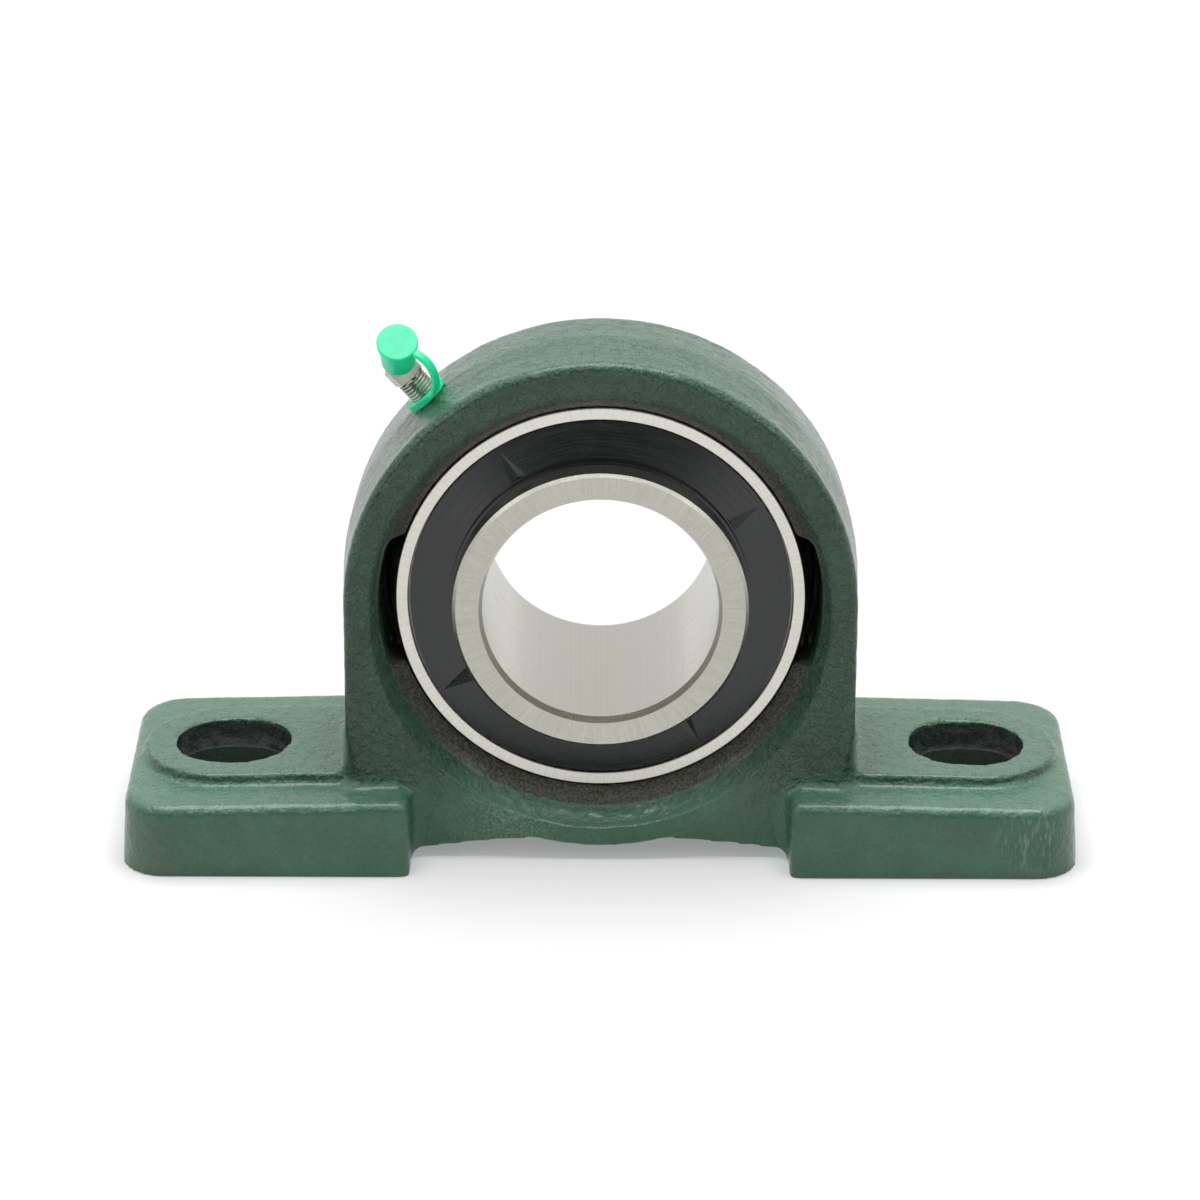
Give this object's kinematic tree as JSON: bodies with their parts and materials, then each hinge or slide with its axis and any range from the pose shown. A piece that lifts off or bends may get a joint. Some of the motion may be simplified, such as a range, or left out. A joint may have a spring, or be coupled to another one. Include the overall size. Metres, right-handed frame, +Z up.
{
  "type": "pillow block bearing",
  "caption": "Self-aligning pillow block bearing: green cast housing with two slotted feet, spherical seat, wide inner ring insert with set screws, seals and a capped elbow grease nipple.",
  "frame": {"origin": "centre of the spherical seat, on the shaft axis; the base plane is 57.2 mm below", "axes": "+Y along the shaft towards the set screws, +X along the feet, +Z up from the base"},
  "size_m": [0.205, 0.0626, 0.1159],
  "materials": {
    "housing_paint": "gloss dark green paint over sand-cast iron, bare machined seat",
    "bearing_steel": "satin ground",
    "ball_steel": "polished",
    "cage_steel": "pressed sheet",
    "seal_rubber": "matte",
    "black_steel": "satin black",
    "screw_steel": "black oxide",
    "zinc_plate": "bright zinc plate",
    "green_plastic": "translucent mint green"
  },
  "bodies": {
    "mount_body": {"housing": "housing_paint", "grease_nipple": "zinc_plate", "nipple_spring": "zinc_plate", "cap_strap": "green_plastic"},
    "insert_body": {"outer_ring": "bearing_steel", "seal_core_front": "cage_steel", "seal_core_back": "cage_steel", "seal_rubber_front": "seal_rubber", "seal_rubber_back": "seal_rubber"},
    "shaft_ring_body": {"inner_ring": "bearing_steel", "slinger_front": "black_steel", "slinger_back": "black_steel"},
    "cage_body": {"cage_half_front": "cage_steel", "cage_half_back": "cage_steel", "cage_rivets": "cage_steel"},
    "screw_1_body": {"set_screw_1": "screw_steel"},
    "screw_2_body": {"set_screw_2": "screw_steel"},
    "cap_body": {"grease_cap": "green_plastic"},
    "check_ball_body": {"nipple_ball": "ball_steel"},
    "ball_01_body": {"ball_01": "ball_steel"},
    "ball_02_body": {"ball_02": "ball_steel"},
    "ball_03_body": {"ball_03": "ball_steel"},
    "ball_04_body": {"ball_04": "ball_steel"},
    "ball_05_body": {"ball_05": "ball_steel"},
    "ball_06_body": {"ball_06": "ball_steel"},
    "ball_07_body": {"ball_07": "ball_steel"},
    "ball_08_body": {"ball_08": "ball_steel"},
    "ball_09_body": {"ball_09": "ball_steel"},
    "ball_10_body": {"ball_10": "ball_steel"}
  },
  "joints": [
    {"name": "insert_tilt", "type": "hinge", "parent": "mount_body", "child": "insert_body", "pos_m": [0, 0, 0], "axis": [1, 0, 0], "range_deg": [-3, 3]},
    {"name": "inner_spin", "type": "hinge", "parent": "insert_body", "child": "shaft_ring_body", "pos_m": [0, 0, 0], "axis": [0, 1, 0], "continuous": true},
    {"name": "cage_spin", "type": "hinge", "parent": "insert_body", "child": "cage_body", "pos_m": [0, 0, 0], "axis": [0, 1, 0], "continuous": true},
    {"name": "ball_01_spin", "type": "hinge", "parent": "cage_body", "child": "ball_01_body", "pos_m": [0, 0, 0.035], "axis": [0, 1, 0], "continuous": true},
    {"name": "ball_02_spin", "type": "hinge", "parent": "cage_body", "child": "ball_02_body", "pos_m": [-0.02057, 0, 0.02832], "axis": [0, 1, 0], "continuous": true},
    {"name": "ball_03_spin", "type": "hinge", "parent": "cage_body", "child": "ball_03_body", "pos_m": [-0.03329, 0, 0.01082], "axis": [0, 1, 0], "continuous": true},
    {"name": "ball_04_spin", "type": "hinge", "parent": "cage_body", "child": "ball_04_body", "pos_m": [-0.03329, 0, -0.01082], "axis": [0, 1, 0], "continuous": true},
    {"name": "ball_05_spin", "type": "hinge", "parent": "cage_body", "child": "ball_05_body", "pos_m": [-0.02057, 0, -0.02832], "axis": [0, 1, 0], "continuous": true},
    {"name": "ball_06_spin", "type": "hinge", "parent": "cage_body", "child": "ball_06_body", "pos_m": [0, 0, -0.035], "axis": [0, 1, 0], "continuous": true},
    {"name": "ball_07_spin", "type": "hinge", "parent": "cage_body", "child": "ball_07_body", "pos_m": [0.02057, 0, -0.02832], "axis": [0, 1, 0], "continuous": true},
    {"name": "ball_08_spin", "type": "hinge", "parent": "cage_body", "child": "ball_08_body", "pos_m": [0.03329, 0, -0.01082], "axis": [0, 1, 0], "continuous": true},
    {"name": "ball_09_spin", "type": "hinge", "parent": "cage_body", "child": "ball_09_body", "pos_m": [0.03329, 0, 0.01082], "axis": [0, 1, 0], "continuous": true},
    {"name": "ball_10_spin", "type": "hinge", "parent": "cage_body", "child": "ball_10_body", "pos_m": [0.02057, 0, 0.02832], "axis": [0, 1, 0], "continuous": true},
    {"name": "screw_1_travel", "type": "slide", "parent": "shaft_ring_body", "child": "screw_1_body", "axis": [0.866, 0, 0.5], "range_m": [-0.0003, 0.003]},
    {"name": "screw_2_travel", "type": "slide", "parent": "shaft_ring_body", "child": "screw_2_body", "axis": [-0.866, 0, 0.5], "range_m": [-0.0003, 0.003]},
    {"name": "cap_pull", "type": "slide", "parent": "mount_body", "child": "cap_body", "axis": [0, -0.6428, 0.766], "range_m": [0, 0.009], "deforming": ["cap_strap"]},
    {"name": "check_ball_travel", "type": "slide", "parent": "mount_body", "child": "check_ball_body", "axis": [0, -0.6428, 0.766], "range_m": [-0.0008, 0], "stiffness_N_per_m": 100, "springref_m": 0.001, "deforming": ["nipple_spring"]}
  ],
  "couplings": [
    {"joint": "cage_spin", "follows": "inner_spin", "ratio": 0.40929},
    {"joint": "ball_01_spin", "follows": "inner_spin", "ratio": -2.6652},
    {"joint": "ball_02_spin", "follows": "inner_spin", "ratio": -2.6652},
    {"joint": "ball_03_spin", "follows": "inner_spin", "ratio": -2.6652},
    {"joint": "ball_04_spin", "follows": "inner_spin", "ratio": -2.6652},
    {"joint": "ball_05_spin", "follows": "inner_spin", "ratio": -2.6652},
    {"joint": "ball_06_spin", "follows": "inner_spin", "ratio": -2.6652},
    {"joint": "ball_07_spin", "follows": "inner_spin", "ratio": -2.6652},
    {"joint": "ball_08_spin", "follows": "inner_spin", "ratio": -2.6652},
    {"joint": "ball_09_spin", "follows": "inner_spin", "ratio": -2.6652},
    {"joint": "ball_10_spin", "follows": "inner_spin", "ratio": -2.6652}
  ]
}
